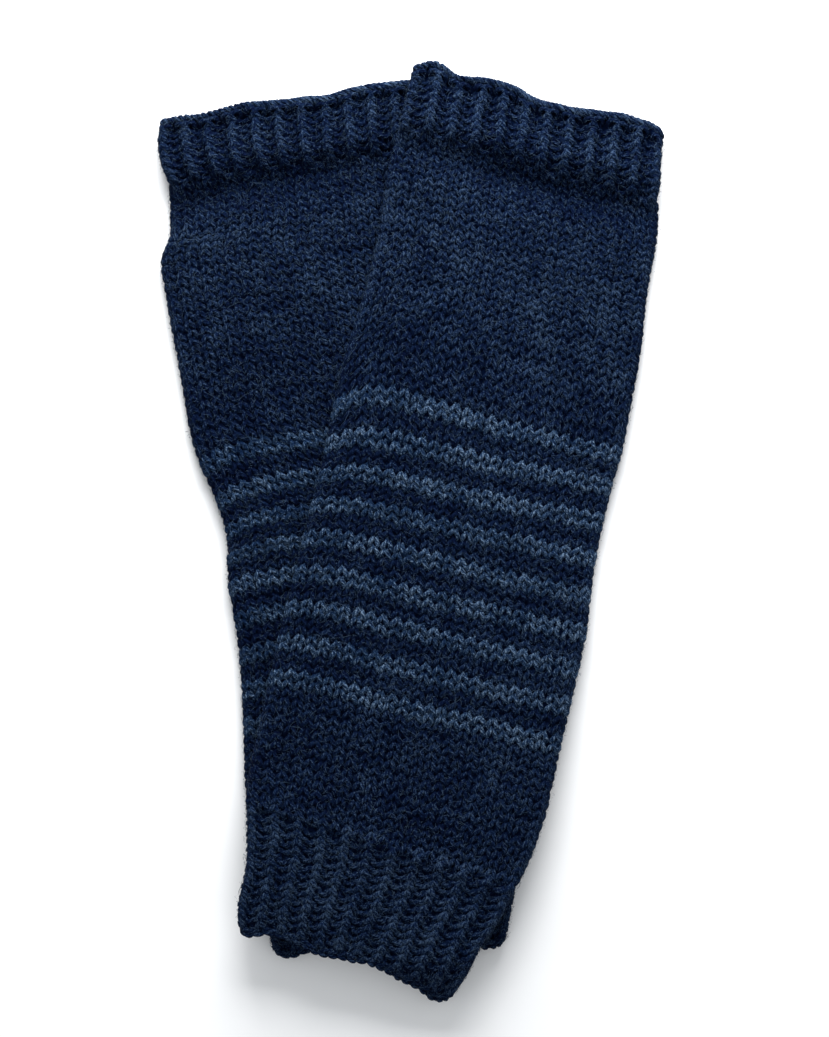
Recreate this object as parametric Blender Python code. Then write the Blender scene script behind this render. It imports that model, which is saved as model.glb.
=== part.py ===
"""A pair of knitted hand warmers, laid flat with one across the other.

Each warmer is a tube knitted in the round: a wide ribbed cuff, a plain body and a narrow ribbed cuff.
Lying down, its two layers rest on each other, so every cross-section is a flattened ring with a thin
slit inside. The lower warmer lies on the table. The upper one is draped over it, down to the table.

Metres, +Z up. +Y points to the wide ends. The origin is under the middle of the pair, on the table.
"""

import math
from collections import namedtuple

import bpy
import numpy as np

MM = 0.001

# The knitting
STITCHES_ROUND = 48           # stitches round each tube
STITCHES_ACROSS = STITCHES_ROUND // 2
ROW_HEIGHT = 2.75 * MM        # one knit row along the tube
STITCHES_PER_RIB = 2          # one knit stitch and one purl stitch

# The cloth
THINNEST_SLIT = 0.3 * MM      # half of the slit between the two layers of a tube, at least
SEAM_GAP = 0.3 * MM           # between two pieces, and between the two warmers
RIB_RELIEF = 0.5 * MM         # how far a rib stands out of the cuff, and its purl column sinks in
RELIEF_FROM = 1.5             # rows from a tube's end to where its ribs have their full relief
CORNER = 3.0 * MM             # radius of a tube's corners, seen from above

# The drape of the upper warmer
FALL = 24 * MM                # the way it takes down to the table past the lower warmer's edge
BODY_STEP = 6.2 * MM          # how high it lies on the lower warmer's body
CUFF_STEP = 7.0 * MM          # and on its cuffs
STEP_BLEND = 16 * MM          # the way between those two heights
WIDE_CUFF_FROM = 113 * MM     # along Y, where the lower warmer's cuffs begin
NARROW_CUFF_FROM = -85 * MM

MIDDLE = (0.07 * MM, -0.83 * MM)  # the middle of the pair in the tables' own frame

NAVY = (0.012, 0.020, 0.045, 1.0)
WOOL_ROUGHNESS = 0.95

# Where the two folds of each tube lie: the knit row, the left fold, the right fold, and how far the row
# arches towards the wide end between them. All but the row are in millimetres.
Course = namedtuple("Course", "row left_x left_y right_x right_y arch")
# How far each end edge waves outwards, in millimetres, from its left corner (0) to its right corner (1)
Wave = namedtuple("Wave", "across out")
# The flattened tube along its rows, in millimetres: its height, how far its top swells in the middle, and
# the thickness of its wall
Height = namedtuple("Height", "row height dome wall")
Warmer = namedtuple("Warmer", "name courses heights wide_wave narrow_wave narrow_from draped")

UPPER_COURSES = (
    Course(0, -0.5, 142.0, 79.5, 121.8, 0.0),
    Course(4, -2.0, 132.7, 77.8, 111.3, 0.5),
    Course(8, -4.2, 123.1, 77.3, 101.1, 1.0),
    Course(11, -6.4, 115.6, 77.3, 93.3, 1.0),
    Course(15, -8.2, 105.7, 75.8, 84.0, 1.0),
    Course(20, -10.1, 92.7, 73.6, 72.2, 1.0),
    Course(26, -13.5, 76.9, 72.1, 57.7, 1.5),
    Course(31, -18.4, 61.7, 69.9, 44.3, 3.0),
    Course(36, -23.4, 42.5, 66.8, 27.5, 5.0),
    Course(42, -26.8, 25.4, 62.2, 10.9, 4.0),
    Course(50, -31.8, 4.7, 57.5, -12.1, 3.0),
    Course(58, -37.0, -16.4, 54.4, -35.0, 2.5),
    Course(64, -41.1, -32.2, 50.4, -52.1, 2.0),
    Course(70, -44.5, -48.1, 46.3, -69.4, 1.5),
    Course(76, -47.9, -63.9, 42.3, -86.8, 1.0),
    Course(80, -50.1, -74.4, 38.3, -98.9, 0.5),
    Course(84, -51.0, -84.3, 33.3, -109.4, 0.0),
    Course(88, -51.0, -95.2, 28.1, -119.7, 0.0),
    Course(91, -51.3, -103.2, 22.8, -127.4, 0.0),
    Course(95, -53.5, -114.4, 17.5, -137.3, 0.0),
    Course(98, -53.5, -122.5, 12.6, -145.4, 0.0),
)
LOWER_COURSES = (
    Course(0, -78.9, 126.8, 4.2, 139.8, 0.0),
    Course(4, -78.6, 117.2, 4.5, 129.3, 0.0),
    Course(8, -75.5, 107.3, 5.1, 118.7, 0.5),
    Course(11, -75.2, 99.2, 6.4, 111.0, 0.5),
    Course(14, -75.2, 91.5, 8.2, 103.5, 0.5),
    Course(17, -77.7, 84.6, 10.4, 95.8, 1.0),
    Course(22, -76.1, 71.0, 13.5, 83.4, 1.0),
    Course(30, -72.1, 49.3, 18.4, 62.3, 2.0),
    Course(39, -67.4, 24.2, 23.1, 39.4, 2.5),
    Course(43, -62.8, 14.0, 26.5, 28.5, 2.5),
    Course(47, -58.7, 3.4, 29.3, 18.0, 2.5),
    Course(55, -56.9, -16.1, 33.3, -3.1, 2.0),
    Course(63, -53.8, -37.2, 36.1, -24.2, 1.5),
    Course(71, -52.5, -58.6, 37.0, -45.9, 1.0),
    Course(79, -51.6, -80.3, 37.4, -67.9, 0.5),
    Course(87, -50.1, -99.8, 35.8, -90.2, 0.0),
    Course(94, -46.3, -115.9, 33.3, -109.4, 0.0),
    Course(101, -43.2, -130.8, 29.6, -128.7, 0.0),
)
UPPER_HEIGHTS = (
    Height(0, 5.6, 0.0, 2.4),
    Height(0.7, 6.8, 0.0, 2.8),
    Height(1.6, 6.1, 0.0, 2.5),
    Height(4, 6.6, 0.0, 2.7),
    Height(7.5, 6.4, 0.0, 2.6),
    Height(10.5, 4.8, 0.1, 2.1),
    Height(14, 5.0, 0.6, 2.2),
    Height(24, 5.2, 0.8, 2.2),
    Height(50, 5.2, 0.8, 2.2),
    Height(76, 5.2, 0.7, 2.2),
    Height(83, 5.6, 0.4, 2.4),
    Height(87, 6.0, 0.0, 2.6),
    Height(96, 6.0, 0.0, 2.6),
    Height(98, 5.4, 0.0, 2.4),
)
LOWER_EXTRA_ROWS = 3          # it has this many more rows before its narrow cuff
LOWER_HEIGHTS = tuple(
    h if h.row < 70 else h._replace(row=h.row + LOWER_EXTRA_ROWS) for h in UPPER_HEIGHTS
)
UPPER_WIDE_WAVE = (
    Wave(0.0, 0.0), Wave(0.06, 4.0), Wave(0.18, 2.3), Wave(0.30, 4.5), Wave(0.40, 4.2), Wave(0.46, 2.3),
    Wave(0.60, 2.0), Wave(0.73, 3.3), Wave(0.84, 4.2), Wave(0.96, 2.3), Wave(1.0, 0.0),
)
UPPER_NARROW_WAVE = (
    Wave(0.0, 0.0), Wave(0.05, 1.7), Wave(0.13, -0.9), Wave(0.29, -1.4), Wave(0.36, -0.4), Wave(0.50, -1.5),
    Wave(0.61, -2.6), Wave(0.75, -0.9), Wave(0.86, 0.7), Wave(0.93, 2.6), Wave(1.0, 0.5),
)
LOWER_WIDE_WAVE = (
    Wave(0.0, 0.0), Wave(0.06, 0.7), Wave(0.16, 0.2), Wave(0.24, 0.7), Wave(0.34, 1.7), Wave(0.42, 1.0),
    Wave(0.56, 0.3), Wave(0.65, 0.0), Wave(0.74, 1.1), Wave(0.90, 0.9), Wave(1.0, 0.0),
)
LOWER_NARROW_WAVE = (
    Wave(0.0, 0.0), Wave(0.07, 2.3), Wave(0.16, 0.5), Wave(0.50, 0.0), Wave(0.85, 0.8), Wave(0.93, 1.2),
    Wave(1.0, 0.0),
)
WAVE_FADE = 5.0               # rows over which an end's waves die away in the cloth
CUFF_ROWS = 8                 # rows in a wide cuff

LOWER = Warmer("lower", LOWER_COURSES, LOWER_HEIGHTS, LOWER_WIDE_WAVE, LOWER_NARROW_WAVE, 87, False)
UPPER = Warmer("upper", UPPER_COURSES, UPPER_HEIGHTS, UPPER_WIDE_WAVE, UPPER_NARROW_WAVE, 84, True)


def through(knots, values, x):
    """A smooth curve through the points (knots, values), read at x."""
    knots, values, x = (np.asarray(v, float) for v in (knots, values, x))
    slopes = np.gradient(values, knots)
    i = np.clip(np.searchsorted(knots, x, side="right") - 1, 0, len(knots) - 2)
    span = knots[i + 1] - knots[i]
    t = np.clip((x - knots[i]) / span, 0, 1)
    rise = values[i + 1] - values[i]
    bend = t * (1 - t) * (slopes[i] * (1 - t) - slopes[i + 1] * t)
    return values[i] + rise * t * t * (3 - 2 * t) + span * bend


def column(table, field, x):
    """One column of a table, in metres, read at x along its first column."""
    return through([row[0] for row in table], [getattr(row, field) for row in table], x) * MM


def smooth_step(t):
    t = np.clip(t, 0, 1)
    return t * t * t * (t * (6 * t - 15) + 10)


def last_row(warmer):
    return warmer.courses[-1].row


def folds(warmer, row):
    """The two ends of a row, at the outside of the tube's folds, as plan points."""
    left = np.stack([column(warmer.courses, "left_x", row), column(warmer.courses, "left_y", row)], -1)
    right = np.stack([column(warmer.courses, "right_x", row), column(warmer.courses, "right_y", row)], -1)
    return left - MIDDLE, right - MIDDLE


def width(warmer, row):
    left, right = folds(warmer, row)
    return np.linalg.norm(right - left, axis=-1)


def plan(warmer, row, across):
    """The plan point of a row at across, which runs from -1 at the left fold to 1 at the right fold."""
    left, right = folds(warmer, row)
    share = (across + 1) / 2
    along = right - left
    outward = np.stack([-along[..., 1], along[..., 0]], -1) / np.linalg.norm(along, axis=-1)[..., None]
    skewed = np.clip(share, 0, 1) ** 0.8
    lift = column(warmer.courses, "arch", row) * np.sin(math.pi * skewed)
    lift = lift + column(warmer.wide_wave, "out", share) * np.exp(-row / WAVE_FADE)
    lift = lift - column(warmer.narrow_wave, "out", share) * np.exp((row - last_row(warmer)) / WAVE_FADE)
    return left + along * share[..., None] + outward * lift[..., None]


def corner_inset(warmer, row):
    """How far a tube's folds draw in beside its ends, which rounds its corners."""
    to_end = np.minimum(row, last_row(warmer) - row) * ROW_HEIGHT
    t = 1 - np.clip(to_end / CORNER, 0, 1)
    return CORNER * (1 - np.sqrt(1 - t * t))


def section(stitch, half_width, half_height):
    """Where a stitch lies round the flattened tube.

    Stitches count from the left fold over the top to the right fold, and back underneath. Gives the
    point across the tube's middle plane, and the direction out of the cloth as across and up.
    """
    on_top = stitch % STITCHES_ROUND < STITCHES_ACROSS
    flat = half_width - half_height
    fold = math.pi / 2 * half_height
    way = (stitch % STITCHES_ACROSS) / STITCHES_ACROSS * (2 * flat + 2 * fold)
    base = np.clip(way - fold, 0, 2 * flat) - flat
    turned = np.clip(way, 0, fold) + np.clip(way - fold - 2 * flat, 0, fold)
    angle = math.pi - turned / half_height
    side = np.where(on_top, 1, -1)
    return side * base, side * np.cos(angle), side * np.sin(angle)


def lower_edges():
    """The lower warmer's outline in plan, as one closed loop of points."""
    rows = np.linspace(0, last_row(LOWER), 41)
    left, right = folds(LOWER, rows)
    return np.concatenate([left, right[::-1]])


def past_the_lower(points):
    """How far each plan point lies outside the lower warmer's outline, and 0 inside it."""
    loop = lower_edges()
    start, end = loop, np.roll(loop, -1, axis=0)
    run = end - start
    to_point = points[..., None, :] - start
    share = np.clip((to_point * run).sum(-1) / (run * run).sum(-1), 0, 1)
    distance = np.linalg.norm(to_point - share[..., None] * run, axis=-1).min(-1)
    above = (start[:, 1] > points[..., None, 1]) != (end[:, 1] > points[..., None, 1])
    rise = np.where(np.abs(run[:, 1]) < 1e-12, 1e-12, run[:, 1])
    crossing = start[:, 0] + (points[..., None, 1] - start[:, 1]) / rise * run[:, 0]
    inside = (above & (points[..., None, 0] < crossing)).sum(-1) % 2 == 1
    return np.where(inside, 0.0, distance)


def drape(points):
    """How high the upper warmer's underside lies over each plan point."""
    onto_cuff = np.maximum(points[..., 1] - WIDE_CUFF_FROM, NARROW_CUFF_FROM - points[..., 1])
    on_cuff = smooth_step(1 + onto_cuff / STEP_BLEND)
    step = BODY_STEP + (CUFF_STEP - BODY_STEP) * on_cuff + SEAM_GAP
    return step * (1 - smooth_step(past_the_lower(points) / FALL))


def ring(warmer, row, stitches, relief=None):
    """A ring of points round the tube at a row: on the cloth's outside if relief says how far the ribs
    stand out there, or else on its inside."""
    stitches = np.asarray(stitches, float)
    rows = np.full_like(stitches, row)
    half_width = width(warmer, rows) / 2 - corner_inset(warmer, rows)
    half_height = column(warmer.heights, "height", rows) / 2
    base, out_across, out_up = section(stitches, half_width, half_height)
    if relief is None:
        wall_here = column(warmer.heights, "wall", rows)
        radius = np.maximum(half_height - wall_here, THINNEST_SLIT)
    else:
        ribs = np.cos(2 * math.pi * (stitches - 1) / STITCHES_PER_RIB)
        upper_side = smooth_step((out_up + 0.2) / 0.7)
        radius = half_height + relief * ribs * upper_side
    across = base + radius * out_across
    points = plan(warmer, rows, across / (width(warmer, rows) / 2))
    dome = column(warmer.heights, "dome", rows) * (1 - (across / half_width) ** 2) * np.maximum(out_up, 0)
    height = half_height + radius * out_up + dome
    if warmer.draped:
        height = height + drape(points)
    return np.column_stack([points, height])


def loft(name, outer, inner, material):
    """A tube wall between matching rings: outside, inside, and a rim at each end."""
    around = len(outer[0])
    rings = outer + inner[::-1]
    vertices = np.concatenate(rings)
    faces = []
    for i in range(len(rings)):
        here, there = i * around, (i + 1) % len(rings) * around
        for j in range(around):
            k = (j + 1) % around
            faces.append((here + j, there + j, there + k, here + k))
    mesh = bpy.data.meshes.new(name)
    mesh.from_pydata(vertices.tolist(), [], faces)
    mesh.shade_smooth()
    mesh.set_sharp_from_angle(angle=math.radians(50))
    mesh.materials.append(material)
    piece = bpy.data.objects.new(name, mesh)
    bpy.data.collections["hand_warmers"].objects.link(piece)
    return piece


def wall(warmer, name, rows, stitches, relief=0.0):
    """One piece of a warmer, from its first row to its last, with half of the gap left at each seam."""
    half_gap = SEAM_GAP / 2 / ROW_HEIGHT
    end = last_row(warmer)
    rows = [r + half_gap if r == rows[0] > 0 else r - half_gap if r == rows[-1] < end else r for r in rows]
    fades = [relief * float(smooth_step(min(r, end - r) / RELIEF_FROM)) for r in rows]
    outer = [ring(warmer, r, stitches, fade) for r, fade in zip(rows, fades)]
    inner = [ring(warmer, r, stitches) for r in rows]
    full_name = f"{warmer.name}_{name}"
    return loft(full_name, outer, inner, wool(f"{full_name}_wool"))


def wool(name):
    material = bpy.data.materials.new(name)
    material.use_nodes = True
    shader = material.node_tree.nodes["Principled BSDF"]
    shader.inputs["Base Color"].default_value = NAVY
    shader.inputs["Roughness"].default_value = WOOL_ROUGHNESS
    return material


# Places along the right fold and the plain underside of every ring
BELOW = [24, 24.5, 25.1, 27, 30, 33, 36, 39, 42, 45, 46.9, 47.5]


def plain_stitches():
    """Places round a plain tube: closer together at the folds than on the flats."""
    return [0, 0.5, 1.1, 2.2, *range(4, 21, 2), 21.8, 22.9, 23.5, *BELOW]


def ribbed_stitches():
    """Places round a cuff: four for each rib over the top, and few under the plain underside."""
    return [*np.arange(0, STITCHES_ACROSS, STITCHES_PER_RIB / 4), *BELOW]


def hand_warmer(warmer):
    narrow, end = warmer.narrow_from, last_row(warmer)
    wide_rows = [0, 0.4, 1.0, 1.7, 3.5, 6, CUFF_ROWS]
    trough_rows = [9.3, 10.7, 12.2, 14.5, 17.5]
    body_rows = [CUFF_ROWS, *trough_rows, 22, 27, 33, 39, 45, 52, 59, 66, 73, 79, narrow]
    narrow_rows = [narrow, narrow + 2.5, narrow + 5.5, narrow + 9, end - 2, end - 0.7, end]
    wall(warmer, "wide_rib", wide_rows, ribbed_stitches(), RIB_RELIEF)
    wall(warmer, "body", body_rows, plain_stitches())
    wall(warmer, "narrow_rib", narrow_rows, ribbed_stitches(), RIB_RELIEF)


def clear_scene():
    for item in list(bpy.context.scene.objects):
        bpy.data.objects.remove(item)


def main():
    clear_scene()
    collection = bpy.data.collections.new("hand_warmers")
    bpy.context.scene.collection.children.link(collection)
    hand_warmer(LOWER)
    hand_warmer(UPPER)


main()
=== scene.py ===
"""The looks of a pair of hand-knitted hand warmers, laid flat with one across the other.

Each warmer is knitted in the round from its wide end, so every row is a strand of yarn in loops that run
round the flattened tube. A knit stitch shows the two legs of its loop, a purl stitch its head. Under the
loops a thin wall of cloth closes the gaps; its dark colour is painted shade for those gaps. Ropes and
chains of yarn edge the tubes, and short stray fibres stand off the wool.

A place on a warmer is a row, counted from the wide end, and a stitch, counted from the left fold over the
top to the right fold and back underneath. Metres, +Z up.
"""

import math
from collections import namedtuple

import bpy
import numpy as np
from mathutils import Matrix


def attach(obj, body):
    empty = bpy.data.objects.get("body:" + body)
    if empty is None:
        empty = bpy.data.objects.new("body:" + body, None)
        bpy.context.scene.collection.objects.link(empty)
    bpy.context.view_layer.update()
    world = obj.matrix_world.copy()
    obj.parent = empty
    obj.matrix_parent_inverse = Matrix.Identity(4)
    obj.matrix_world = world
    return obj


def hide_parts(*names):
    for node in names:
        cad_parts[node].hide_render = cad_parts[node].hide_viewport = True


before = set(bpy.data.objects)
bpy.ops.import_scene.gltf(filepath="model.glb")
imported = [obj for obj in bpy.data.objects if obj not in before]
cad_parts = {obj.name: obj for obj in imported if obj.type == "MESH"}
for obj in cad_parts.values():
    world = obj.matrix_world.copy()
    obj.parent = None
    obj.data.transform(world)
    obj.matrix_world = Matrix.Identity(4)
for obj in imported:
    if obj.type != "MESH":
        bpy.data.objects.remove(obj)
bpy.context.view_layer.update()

MM = 0.001

# ---------------------------------------------------------------- the two tubes, as the solids have them

STITCHES_ROUND = 48
STITCHES_ACROSS = STITCHES_ROUND // 2
STITCH_WIDTH = 3.6 * MM
ROW_HEIGHT = 2.75 * MM
SEAM_GAP = 0.3 * MM
CORNER = 3.0 * MM             # radius of a tube's corners, seen from above
FALL = 24 * MM                # the way the upper warmer takes down to the table past the lower one's edge
BODY_STEP = 6.2 * MM          # how high it lies on the lower warmer's body
CUFF_STEP = 7.0 * MM          # and on its cuffs
STEP_BLEND = 16 * MM
WIDE_CUFF_FROM = 113 * MM
NARROW_CUFF_FROM = -85 * MM
MIDDLE = (0.07 * MM, -0.83 * MM)
WAVE_FADE = 5.0               # rows over which an end's waves die away in the cloth
ARCH_LEAN = 4.0               # how much nearer to its left fold a row arches most; 0 is midway
CUFF_ROWS = 8                 # rows in a wide cuff
MOST_ROWS = 110               # more than either warmer has
OUTLINE_POINTS = 41           # along each fold, where one warmer's outline is compared with the other

# Where the two folds of each tube lie: the knit row, the left fold, the right fold, and how far the row
# arches towards the wide end between them. All but the row are in millimetres.
Course = namedtuple("Course", "row left_x left_y right_x right_y arch")
# How far each end edge waves outwards, in millimetres, from its left corner (0) to its right corner (1)
Wave = namedtuple("Wave", "across out")
# The flattened tube along its rows, in millimetres: its height, and how far its top swells in the middle
Height = namedtuple("Height", "row height dome")
# A soft trough in the cloth, or a ridge if its depth is negative: its middle, then in millimetres half its
# length, half its width and its depth, and the degrees it turns from the row towards the narrow end
Crease = namedtuple("Crease", "row stitch half_length half_width depth turn")
# One warmer: the tables above, the rows where its narrow cuff and its stripes start, how much lighter its
# yarn is (the lower one's is painted darker, as painted shade), and whether it lies over the other one
Warmer = namedtuple(
    "Warmer", "name courses heights wide_wave narrow_wave narrow_from stripes_from creases tone draped seed"
)

UPPER_COURSES = (
    Course(0, -0.5, 142.0, 79.5, 121.8, 0.0),
    Course(4, -2.0, 132.7, 77.8, 111.3, 0.5),
    Course(8, -4.2, 123.1, 77.3, 101.1, 1.0),
    Course(11, -6.4, 115.6, 77.3, 93.3, 1.0),
    Course(15, -8.2, 105.7, 75.8, 84.0, 1.5),
    Course(20, -10.3, 91.8, 73.6, 72.2, 2.0),
    Course(26, -14.4, 73.9, 72.0, 57.0, 4.0),
    Course(31, -19.8, 56.7, 69.5, 42.4, 7.2),
    Course(36, -24.3, 38.5, 66.5, 26.2, 8.8),
    Course(42, -27.3, 23.0, 62.2, 10.8, 4.6),
    Course(50, -31.8, 4.7, 57.5, -12.1, 3.0),
    Course(58, -37.0, -16.4, 54.4, -35.0, 2.5),
    Course(64, -41.1, -32.2, 50.4, -52.1, 2.0),
    Course(70, -44.5, -48.1, 46.3, -69.4, 1.5),
    Course(76, -47.9, -63.9, 42.3, -86.8, 1.0),
    Course(80, -50.1, -74.4, 38.3, -98.9, 0.5),
    Course(84, -51.0, -84.3, 33.3, -109.4, 0.0),
    Course(88, -51.0, -95.2, 28.1, -119.7, 0.0),
    Course(91, -51.3, -103.2, 22.8, -127.4, 0.0),
    Course(95, -53.5, -114.4, 17.5, -137.3, 0.0),
    Course(98, -53.5, -122.5, 12.6, -145.4, 0.0),
)
LOWER_COURSES = (
    Course(0, -78.9, 126.8, 4.2, 139.8, 0.0),
    Course(4, -78.6, 117.2, 4.5, 129.3, 0.0),
    Course(8, -75.5, 107.3, 5.1, 118.7, 0.5),
    Course(11, -75.2, 99.2, 6.4, 111.0, 0.5),
    Course(14, -75.2, 91.5, 8.2, 103.5, 0.5),
    Course(17, -77.7, 84.6, 10.4, 95.8, 1.0),
    Course(22, -76.1, 71.0, 13.5, 83.4, 1.0),
    Course(30, -72.1, 49.3, 18.4, 62.3, 2.5),
    Course(39, -66.4, 21.7, 23.1, 39.4, 3.5),
    Course(43, -61.3, 10.4, 26.5, 28.5, 3.5),
    Course(47, -58.0, 0.5, 29.3, 18.0, 3.5),
    Course(55, -56.9, -16.1, 33.3, -3.1, 2.5),
    Course(63, -53.8, -37.2, 36.1, -24.2, 1.5),
    Course(71, -52.5, -58.6, 37.0, -45.9, 1.0),
    Course(79, -51.6, -80.3, 37.4, -67.9, 0.5),
    Course(87, -50.1, -99.8, 35.8, -90.2, 0.0),
    Course(94, -46.3, -115.9, 33.3, -109.4, 0.0),
    Course(101, -43.2, -130.8, 29.6, -128.7, 0.0),
)
UPPER_HEIGHTS = (
    Height(0, 5.6, 0.0),
    Height(0.7, 6.8, 0.0),
    Height(1.6, 6.1, 0.0),
    Height(4, 6.6, 0.0),
    Height(7.5, 6.4, 0.0),
    Height(10.5, 4.8, 0.1),
    Height(14, 5.0, 0.6),
    Height(24, 5.2, 0.8),
    Height(50, 5.2, 0.8),
    Height(76, 5.2, 0.7),
    Height(83, 5.6, 0.4),
    Height(87, 6.0, 0.0),
    Height(96, 6.0, 0.0),
    Height(98, 5.4, 0.0),
)
LOWER_EXTRA_ROWS = 3          # it has this many more rows before its narrow cuff
LOWER_HEIGHTS = tuple(
    h if h.row < 70 else h._replace(row=h.row + LOWER_EXTRA_ROWS) for h in UPPER_HEIGHTS
)
UPPER_WIDE_WAVE = (
    Wave(0.0, 0.0), Wave(0.06, 4.0), Wave(0.18, 2.3), Wave(0.30, 4.5), Wave(0.40, 4.2), Wave(0.46, 2.3),
    Wave(0.60, 2.0), Wave(0.73, 3.3), Wave(0.84, 4.2), Wave(0.96, 2.3), Wave(1.0, 0.0),
)
UPPER_NARROW_WAVE = (
    Wave(0.0, 0.0), Wave(0.05, 1.7), Wave(0.13, -0.9), Wave(0.29, -1.4), Wave(0.36, -0.4), Wave(0.50, -1.5),
    Wave(0.61, -2.6), Wave(0.75, -0.9), Wave(0.86, 0.7), Wave(0.93, 2.6), Wave(1.0, 0.5),
)
LOWER_WIDE_WAVE = (
    Wave(0.0, 0.0), Wave(0.06, 0.7), Wave(0.16, 0.2), Wave(0.24, 0.7), Wave(0.34, 1.7), Wave(0.42, 1.0),
    Wave(0.56, 0.3), Wave(0.65, 0.0), Wave(0.74, 1.1), Wave(0.90, 0.9), Wave(1.0, 0.0),
)
LOWER_NARROW_WAVE = (
    Wave(0.0, 0.0), Wave(0.07, 2.3), Wave(0.16, 0.5), Wave(0.50, 0.0), Wave(0.85, 0.8), Wave(0.93, 1.2),
    Wave(1.0, 0.0),
)
UPPER_CREASES = (
    Crease(1.5, 12.0, 60, 1.2, 0.6, 0),       # the groove under the cast-on rope
    Crease(5.8, 13.0, 44, 3.8, -1.2, -3),     # the cuff, puffed up above its trough
    Crease(9.5, 15.0, 34, 4.7, 2.4, 0),       # the deep end of that trough
    Crease(9.7, 3.0, 14, 4.2, 1.0, 2),
    Crease(25.5, 5.6, 5, 1.5, 0.45, -4),
    Crease(25.2, 9.9, 5, 1.4, 0.40, 3),
    Crease(21.0, 17.5, 6, 1.6, 0.30, 6),
    Crease(30.5, 14.5, 7, 1.8, 0.30, -5),
    Crease(32.5, 2.4, 9, 5.0, 0.55, 60),      # the hollow beside its left fold
    Crease(75.5, 11.5, 20, 7.0, 0.50, 70),    # a long soft hollow above the narrow cuff
    Crease(83.9, 12.0, 42, 1.9, -0.75, 3),    # the puffed row where the narrow cuff starts
)
LOWER_CREASES = (
    Crease(1.5, 12.0, 60, 1.2, 0.6, 0),       # the groove under the cast-on rope
    Crease(6.1, 11.0, 44, 3.8, -1.0, 0),      # the cuff, puffed up above its trough
    Crease(9.3, 9.0, 44, 4.2, 1.8, -5),
    Crease(11.5, 2.5, 10, 5.0, 0.6, -12),
    Crease(14.6, 4.6, 6, 1.5, 0.45, -3),
    Crease(16.8, 10.4, 5, 1.4, 0.35, 4),
    Crease(23.0, 6.6, 6, 1.5, 0.45, -2),
    Crease(25.6, 12.4, 5, 1.4, 0.40, 3),
    Crease(27.5, 1.6, 24, 2.6, 0.40, 88),     # a soft line along its left fold
    Crease(34.0, 7.0, 16, 6.0, 0.45, -20),
    Crease(87.3, 12.0, 40, 1.6, -0.45, 0),
)
# Painted shade: the lower warmer's yarn is darker for lying below the upper one
LOWER = Warmer(
    "lower", LOWER_COURSES, LOWER_HEIGHTS, LOWER_WIDE_WAVE, LOWER_NARROW_WAVE,
    narrow_from=87, stripes_from=39, creases=LOWER_CREASES, tone=-0.3, draped=False, seed=11,
)
UPPER = Warmer(
    "upper", UPPER_COURSES, UPPER_HEIGHTS, UPPER_WIDE_WAVE, UPPER_NARROW_WAVE,
    narrow_from=84, stripes_from=36, creases=UPPER_CREASES, tone=0.0, draped=True, seed=29,
)

# ---------------------------------------------------------------- the yarn

# The stripes
STRIPES = 9
STRIPE_ROWS = 2
STRIPE_EVERY = 4
STRIPE_LIFT = 0.20 * MM       # how far the stripes stand out, and the rows between them sink in
STRIPE_PATCHES = 0.35         # how unevenly the grey yarn is dyed
BETWEEN_STRIPES_TONE = 0.2    # how much darker the navy yarn is between them

# A loop, in parts of its row and its stitch
LOOP_REACH = 0.71             # from its middle to its head and to its feet, along the tube
LOOP_BULGE = 0.265            # how far its legs lean out sideways
OVERLAP = 0.08                # how far two strands of a row run past each other where they meet

# The yarn in a loop
CLOTH_MIDDLE = 1.18 * MM      # how far the loops' middle lies under the solids' outer face
LOOP_DEPTH = 0.38 * MM        # how far the legs stand in front, and the head and feet lie behind
LEG_HALF_WIDTH = 0.96 * MM
HEAD_HALF_WIDTH = 0.78 * MM   # the yarn is pulled thin where it turns
HALF_THICKNESS = 0.78 * MM
HEAD_FLATTENING = 0.08        # how much thinner it is there, as a part
YARN_ROUGHNESS = 0.08         # how unevenly its surface bulges, as a part of its thickness
STRAND_SHIFT = 7.3            # millimetres by which the plies' pattern shifts from strand to strand
PLIES = 4
PLY_TURN = 8.0                # millimetres of yarn in which the plies turn once

# How unevenly the loops are knitted, as parts of the measures above, and in rows and stitches
UNEVEN_REACH = 0.09
UNEVEN_BULGE = 0.26
UNEVEN_DEPTH = 0.25
UNEVEN_THICKNESS = 0.10
UNEVEN_ROWS = 0.15
UNEVEN_STITCHES = 0.11
SOFT_WAVES = 0.22 * MM        # how far the whole cloth swells and sinks

# The wall under the loops
SHELL_FROM_MIDDLE = 0.12 * MM
SHELL_WALL = 0.9 * MM
SHELL_STEP = 0.5              # stitches between its points

# The ribs: how far knit columns stand out and purl columns sink in, how much lighter and darker the yarn is
# painted in them as painted light and shade on that relief, and how much lighter all of it is than in the
# body
Rib = namedtuple("Rib", "lift contrast tone")
WIDE_RIB = Rib(1.10 * MM, 0.40, -0.15)
NARROW_RIB = Rib(0.55 * MM, 0.20, 0.25)
RIB_SPREAD = -0.12            # how far a knit column spreads over its neighbours, in stitches
RIB_SHARPNESS = 1.6           # how quickly the yarn passes from front to back between two columns
RIB_WIDENING = 0.08           # how much fatter the yarn lies there
EDGE_ROWS = 2.6               # rows from an end over which its edge holds the ribs flatter
EDGE_HOLD = 0.85              # how much of their height the edge takes

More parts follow.
